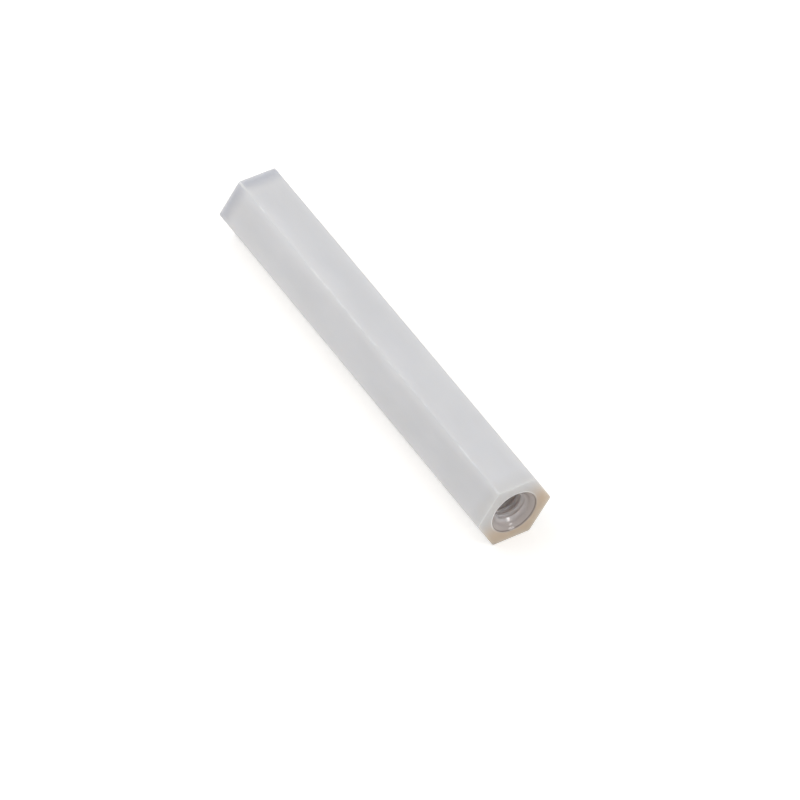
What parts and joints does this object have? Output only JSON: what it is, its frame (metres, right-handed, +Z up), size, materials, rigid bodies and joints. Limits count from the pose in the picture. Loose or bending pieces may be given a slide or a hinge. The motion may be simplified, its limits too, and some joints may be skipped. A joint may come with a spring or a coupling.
{
  "type": "hex standoff",
  "caption": "Plain hexagonal nylon spacer, tapped with a blind hole in each end, for holding two boards or plates a set distance apart.",
  "frame": {"origin": "on the surface that the bar lies on, under its middle: the centre of its lower flat", "axes": "+X along the bar, towards the end that shows its hole; +Z up, out of the upper flat; Y across the bar"},
  "size_m": [0.04, 0.0068, 0.006],
  "materials": {
    "nylon": "natural white nylon, satin and slightly translucent"
  },
  "bodies": {
    "root": {"standoff": "nylon"}
  },
  "joints": []
}
